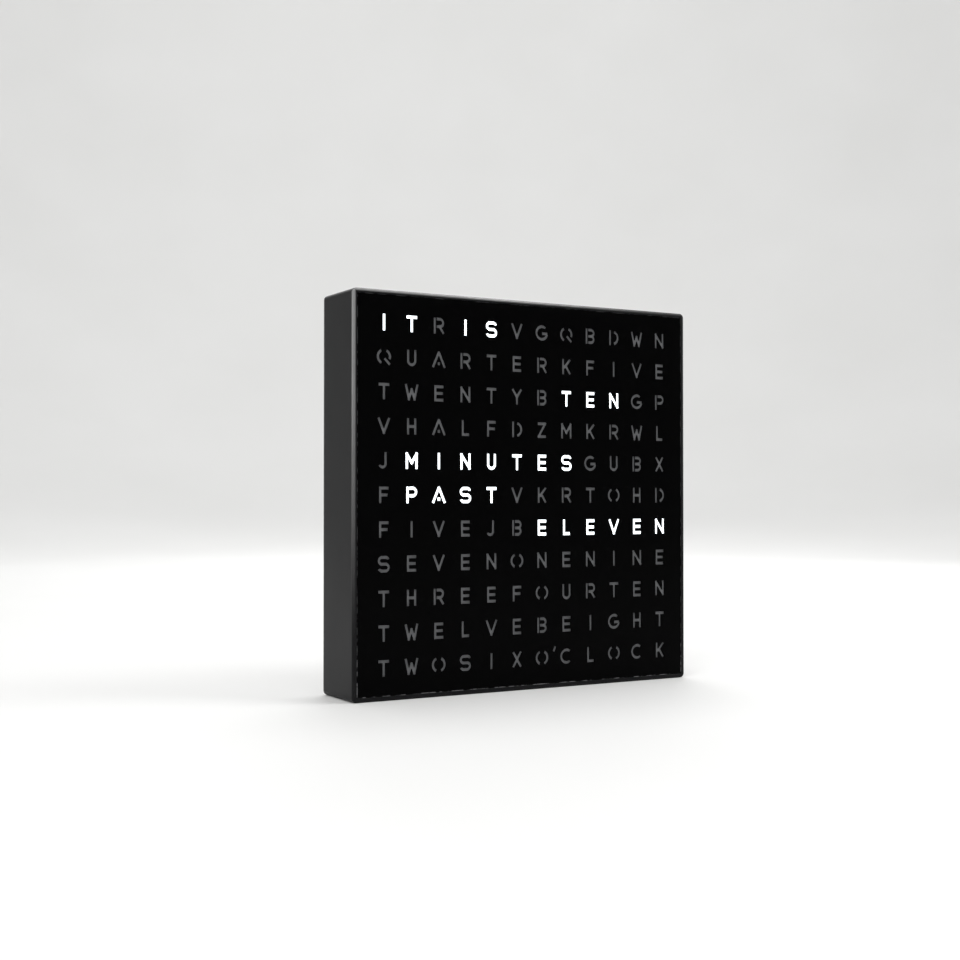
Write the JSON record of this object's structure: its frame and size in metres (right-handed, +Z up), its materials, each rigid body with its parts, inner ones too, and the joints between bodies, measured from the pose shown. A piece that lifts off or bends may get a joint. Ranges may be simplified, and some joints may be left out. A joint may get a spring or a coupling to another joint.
{
  "type": "word clock",
  "caption": "Square black word clock: stencilled letter panel lit from behind through a light grid, rear cover with battery bay, hanging holes and set buttons, side power rocker.",
  "frame": {"origin": "centre of the bottom face, which the clock stands on", "axes": "+Z up; the letter face looks along -Y; +X is the right side seen from the front, with the power rocker and the power socket"},
  "size_m": [0.1822, 0.032, 0.18],
  "materials": {
    "case_plastic": "gloss black moulded plastic",
    "panel_black": "deep gloss black",
    "tape": "foam tape",
    "diffuser": "smoked translucent sheet, lit behind the words that show",
    "grid_white": "matt white moulding",
    "board_green": "green solder mask",
    "lamp": "phosphor resin",
    "chip_black": "moulded epoxy",
    "can_metal": "tinned can",
    "pin_brass": "plated brass",
    "screw_steel": "zinc plated",
    "screw_black": "black oxide",
    "cover_plastic": "fine textured black moulding",
    "spring_steel": "nickel plated",
    "lead_red": "PVC insulation",
    "lead_black": "PVC insulation",
    "button_grey": "satin dark grey cap",
    "plunger_white": "satin",
    "switch_black": "satin nylon",
    "rocker_black": "gloss black"
  },
  "bodies": {
    "case": {"housing": "case_plastic", "front_panel": "panel_black", "panel_tape": "tape", "diffuser": "diffuser", "light_grid": "grid_white", "led_board": "board_green", "lamps": "lamp", "controller_chip": "chip_black", "driver_chips": "chip_black", "clock_chip": "chip_black", "clock_crystal": "can_metal", "capacitors": "can_metal", "chip_resistors": "chip_black", "header_pins": "pin_brass", "header_socket": "chip_black", "board_screws": "screw_steel", "rear_cover": "cover_plastic", "cover_screws": "screw_black", "battery_springs": "spring_steel", "contact_plates": "spring_steel", "battery_leads": "lead_red", "control_board": "board_green", "control_screws": "screw_steel", "usb_socket": "can_metal", "usb_tongue": "chip_black", "set_switches": "chip_black", "switch_body": "switch_black", "switch_terminals": "pin_brass", "switch_leads": "lead_black"},
    "door": {"battery_door": "cover_plastic"},
    "rocker": {"switch_rocker": "rocker_black"},
    "hour_key": {"hour_button": "button_grey", "hour_plunger": "plunger_white"},
    "minute_key": {"minute_button": "button_grey", "minute_plunger": "plunger_white"}
  },
  "joints": [
    {"name": "power_rocker", "type": "hinge", "parent": "case", "child": "rocker", "pos_m": [0.08603, 0.0048, 0.0756], "axis": [0, 1, 0], "range_deg": [0, 12.9]},
    {"name": "hour_press", "type": "slide", "parent": "case", "child": "hour_key", "axis": [0, -1, 0], "range_m": [0, 0.001], "stiffness_N_per_m": 1500, "springref_m": -0.0004},
    {"name": "minute_press", "type": "slide", "parent": "case", "child": "minute_key", "axis": [0, -1, 0], "range_m": [0, 0.001], "stiffness_N_per_m": 1500, "springref_m": -0.0004},
    {"name": "battery_door_hinge", "type": "hinge", "parent": "case", "child": "door", "pos_m": [0, 0.015, 0.0208], "axis": [-1, 0, 0], "range_deg": [0, 90]}
  ]
}
